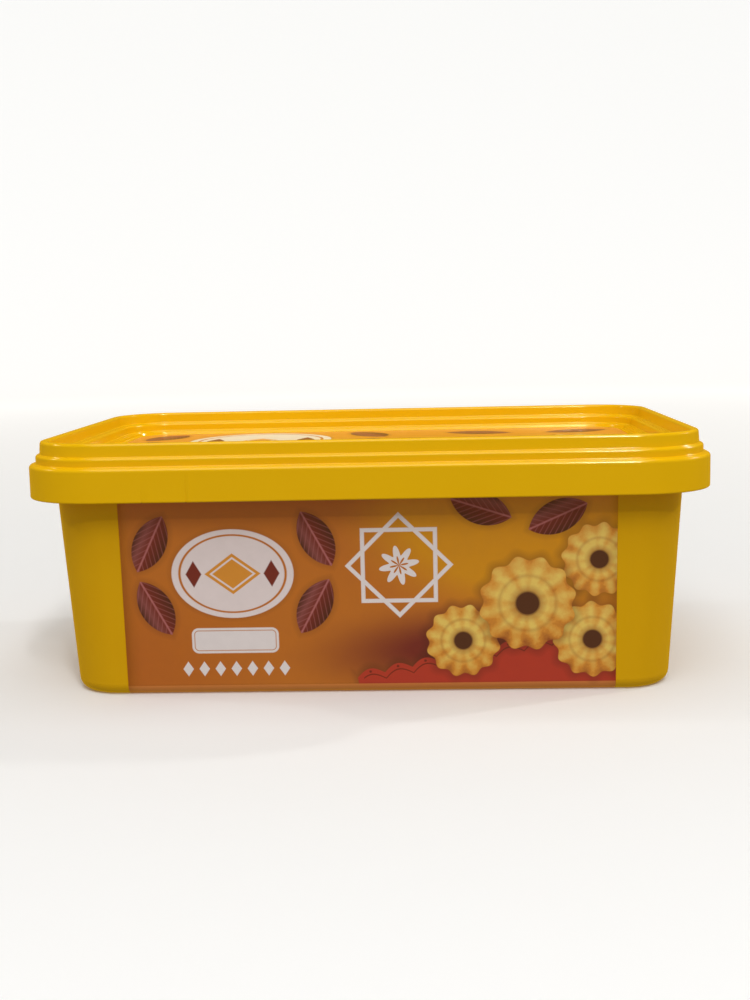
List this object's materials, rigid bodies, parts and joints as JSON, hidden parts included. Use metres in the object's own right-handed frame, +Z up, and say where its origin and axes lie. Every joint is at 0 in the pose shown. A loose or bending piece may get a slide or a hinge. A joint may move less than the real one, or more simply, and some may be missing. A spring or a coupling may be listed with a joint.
{
  "type": "lidded plastic food tub",
  "caption": "Shut rectangular yellow plastic food tub with a stepped push-on lid, a sunk stacking panel on top and printed labels moulded into its front, back and lid.",
  "frame": {"origin": "centre of the bounding box at the table, under the tub's foot ring", "axes": "+X along the long side, to the right in front view; +Y to the back, so the shown front faces -Y; +Z up"},
  "size_m": [0.22, 0.15, 0.0827],
  "materials": {
    "tub_plastic": "moulded, softly glossy",
    "lid_plastic": "moulded, glossy",
    "wall_label_film": "printed film, satin",
    "lid_label_film": "printed film, satin"
  },
  "bodies": {
    "root": {"tub": "tub_plastic", "lid": "lid_plastic", "front_label": "wall_label_film", "back_label": "wall_label_film", "lid_label": "lid_label_film"}
  },
  "joints": []
}
